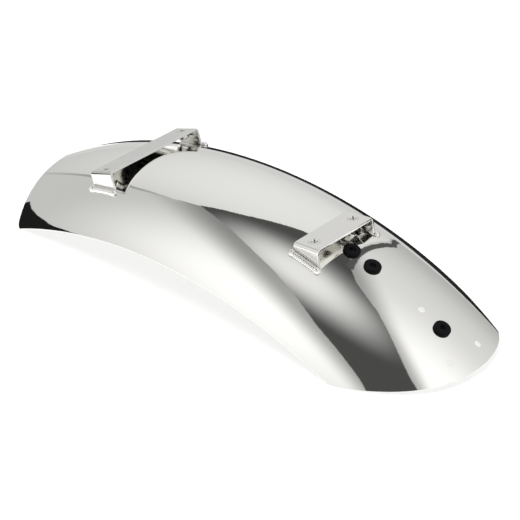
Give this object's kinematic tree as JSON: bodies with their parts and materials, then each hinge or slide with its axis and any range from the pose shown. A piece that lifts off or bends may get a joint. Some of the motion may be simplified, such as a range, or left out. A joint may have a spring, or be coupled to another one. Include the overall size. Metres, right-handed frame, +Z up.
{
  "type": "motorcycle rear mudguard",
  "caption": "Short polished stainless rear mudguard with welded bridge brackets over the crown, threaded for its fixings, and rubber grommets for the wiring.",
  "frame": {"origin": "middle of the footprint, on the ground under the front corners and the heels of the tail trim", "axes": "+Z up, +X towards the tail, +Y to the right of a rider who faces the front end"},
  "size_m": [0.436, 0.17, 0.0738],
  "materials": {
    "polished_stainless": "mirror polished stainless sheet",
    "satin_stainless": "brushed stainless strip",
    "nut_steel": "turned stainless",
    "weld_metal": "bright rippled weld metal",
    "black_rubber": "moulded black rubber"
  },
  "bodies": {
    "root": {"mudguard_shell": "polished_stainless", "front_bracket": "satin_stainless", "rear_bracket": "satin_stainless", "front_weld_nuts": "nut_steel", "rear_weld_nuts": "nut_steel", "front_bracket_weld_left": "weld_metal", "front_bracket_weld_right": "weld_metal", "rear_bracket_weld_left": "weld_metal", "rear_bracket_weld_right": "weld_metal", "front_wiring_grommet": "black_rubber", "rear_wiring_grommet": "black_rubber", "tail_light_grommet": "black_rubber"}
  },
  "joints": []
}
